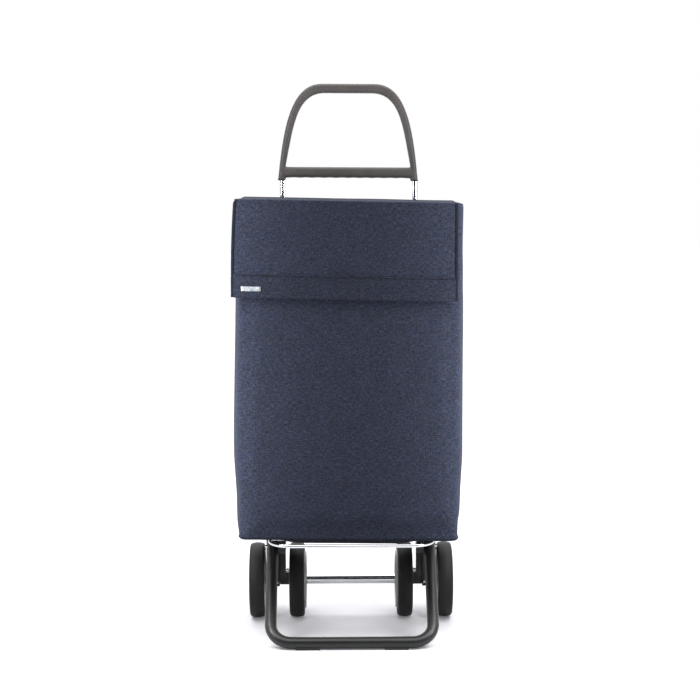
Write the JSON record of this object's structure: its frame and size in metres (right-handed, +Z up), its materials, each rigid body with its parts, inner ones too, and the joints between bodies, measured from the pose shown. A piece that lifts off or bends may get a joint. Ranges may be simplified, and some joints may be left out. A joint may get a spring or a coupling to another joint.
{
  "type": "folding shopping trolley",
  "caption": "Folding shopping trolley with fabric bag, lid flap, moulded handle, folding platform and stand, outer wheels and swing-out inner wheels.",
  "frame": {"origin": "on the floor, under the centre of the whole trolley", "axes": "+Z up, -Y towards the front of the bag, +X to the right seen from the front"},
  "size_m": [0.419, 0.3238, 1.048],
  "materials": {
    "bag_fabric": "navy melange weave",
    "hem_fabric": "navy melange weave, stitched",
    "handle_plastic": "charcoal, fine texture",
    "bright_tube": "polished",
    "stand_paint": "satin black",
    "black_plastic": "satin black",
    "tyre_rubber": "matt",
    "hub_plastic": "light grey, moulded",
    "board": "black board"
  },
  "bodies": {
    "frame": {"handle_grip": "handle_plastic", "tube_left": "bright_tube", "tube_right": "bright_tube", "upper_crossbar": "bright_tube", "lower_crossbar": "bright_tube", "hanger_clip_left": "black_plastic", "hanger_clip_right": "black_plastic", "bracket_left": "black_plastic", "bracket_right": "black_plastic", "axle_left": "bright_tube", "axle_right": "bright_tube", "axle_spacer_left": "black_plastic", "axle_spacer_right": "black_plastic", "axle_cap_left": "black_plastic", "axle_cap_right": "black_plastic", "axle_screw_left": "bright_tube", "axle_screw_right": "bright_tube", "carrier_pin_left": "bright_tube", "carrier_pin_right": "bright_tube", "stand_pin_left": "bright_tube", "stand_pin_right": "bright_tube", "bag_front": "bag_fabric", "bag_back": "bag_fabric", "bag_side_left": "bag_fabric", "bag_side_right": "bag_fabric", "bag_bottom": "bag_fabric"},
    "platform": {"platform_loop": "bright_tube", "platform_rung_front": "bright_tube", "platform_rung_rear": "bright_tube", "base_board": "board"},
    "stand": {"stand_tube": "stand_paint", "stand_plug_left": "black_plastic", "stand_plug_right": "black_plastic", "foot_glide_left": "black_plastic", "foot_glide_right": "black_plastic"},
    "carrier": {"carrier_arm_left": "black_plastic", "carrier_arm_right": "black_plastic", "stop_pin_left": "bright_tube", "stop_pin_right": "bright_tube", "inner_axle": "bright_tube", "inner_sleeve": "bright_tube"},
    "wheel_outer_left": {"tyre_outer_left": "tyre_rubber", "hub_outer_left": "hub_plastic"},
    "wheel_outer_right": {"tyre_outer_right": "tyre_rubber", "hub_outer_right": "hub_plastic"},
    "wheel_inner_left": {"tyre_inner_left": "tyre_rubber", "hub_inner_left": "hub_plastic"},
    "wheel_inner_right": {"tyre_inner_right": "tyre_rubber", "hub_inner_right": "hub_plastic"},
    "lid": {"lid_panel": "bag_fabric", "lid_ear_left": "bag_fabric", "lid_ear_right": "bag_fabric"},
    "flap": {"flap_panel": "bag_fabric", "flap_hem": "hem_fabric"}
  },
  "joints": [
    {"name": "platform_fold", "type": "hinge", "parent": "frame", "child": "platform", "pos_m": [0, 0.036, 0.1942], "axis": [-1, 0, 0], "range_deg": [0, 90], "deforming": ["bag_front", "bag_back", "bag_side_left", "bag_side_right", "bag_bottom"]},
    {"name": "stand_fold", "type": "hinge", "parent": "frame", "child": "stand", "pos_m": [0, 0.014, 0.158], "axis": [-1, 0, 0], "range_deg": [0, 134]},
    {"name": "carrier_swing", "type": "hinge", "parent": "frame", "child": "carrier", "pos_m": [0, 0.078, 0.16], "axis": [1, 0, 0], "range_deg": [0, 60]},
    {"name": "spin_outer_left", "type": "hinge", "parent": "frame", "child": "wheel_outer_left", "pos_m": [-0.1847, 0.088, 0.074], "axis": [1, 0, 0], "continuous": true},
    {"name": "spin_outer_right", "type": "hinge", "parent": "frame", "child": "wheel_outer_right", "pos_m": [0.1847, 0.088, 0.074], "axis": [1, 0, 0], "continuous": true},
    {"name": "spin_inner_left", "type": "hinge", "parent": "carrier", "child": "wheel_inner_left", "pos_m": [-0.1062, 0.088, 0.0744], "axis": [1, 0, 0], "continuous": true},
    {"name": "spin_inner_right", "type": "hinge", "parent": "carrier", "child": "wheel_inner_right", "pos_m": [0.1062, 0.088, 0.0744], "axis": [1, 0, 0], "continuous": true},
    {"name": "lid_open", "type": "hinge", "parent": "frame", "child": "lid", "pos_m": [0, 0.064, 0.829], "axis": [-1, 0, 0], "range_deg": [0, 85]},
    {"name": "flap_lift", "type": "hinge", "parent": "lid", "child": "flap", "pos_m": [0, -0.158, 0.829], "axis": [-1, 0, 0], "range_deg": [0, 90]}
  ],
  "couplings": [
    {"joint": "stand_fold", "follows": "platform_fold", "ratio": 1.478}
  ]
}
